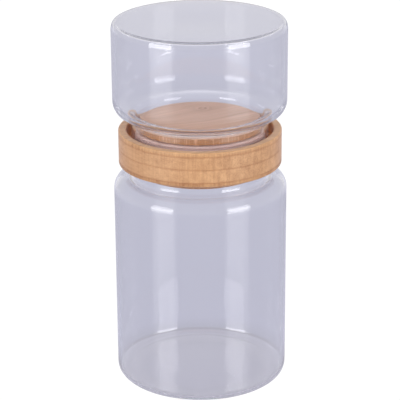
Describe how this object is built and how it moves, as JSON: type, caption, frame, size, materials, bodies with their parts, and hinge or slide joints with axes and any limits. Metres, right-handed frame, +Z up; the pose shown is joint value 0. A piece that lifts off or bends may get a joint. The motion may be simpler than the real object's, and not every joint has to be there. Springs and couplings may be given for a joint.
{
  "type": "storage jar",
  "caption": "Tall clear glass storage jar with a shorter jar inverted above it, both closed by a shared double-sided bamboo lid with silicone seals.",
  "frame": {"origin": "centre of the lower jar's foot, on the surface that it stands on", "axes": "+Z up along the common axis of the jars and the lid, +X to the right in the picture, +Y away from the camera"},
  "size_m": [0.1, 0.1, 0.2146],
  "materials": {
    "glass": "clear blown glass, polished",
    "silicone": "translucent matt silicone",
    "bamboo_outer_layer": "sanded bamboo, thin oil",
    "bamboo_inner_layer": "sanded bamboo, thin oil, grain across"
  },
  "bodies": {
    "lower_jar": {"lower_jar": "glass"},
    "lower_seal": {"lower_seal": "silicone"},
    "lid": {"lower_plug": "bamboo_outer_layer", "lower_rim": "bamboo_outer_layer", "lower_core": "bamboo_inner_layer", "upper_core": "bamboo_inner_layer", "upper_rim": "bamboo_outer_layer", "upper_plug": "bamboo_outer_layer"},
    "upper_seal": {"upper_seal": "silicone"},
    "upper_jar": {"upper_jar": "glass"}
  },
  "joints": [
    {"name": "lid_lift", "type": "slide", "parent": "lower_jar", "child": "lower_seal", "axis": [0, 0, 1], "range_m": [0, 0.04]},
    {"name": "lid_twist", "type": "hinge", "parent": "lower_seal", "child": "lid", "pos_m": [0, 0, 0.1413], "axis": [0, 0, 1], "continuous": true},
    {"name": "upper_jar_twist", "type": "hinge", "parent": "lid", "child": "upper_seal", "pos_m": [0, 0, 0.1413], "axis": [0, 0, 1], "continuous": true},
    {"name": "upper_jar_lift", "type": "slide", "parent": "upper_seal", "child": "upper_jar", "axis": [0, 0, 1], "range_m": [0, 0.04]}
  ]
}
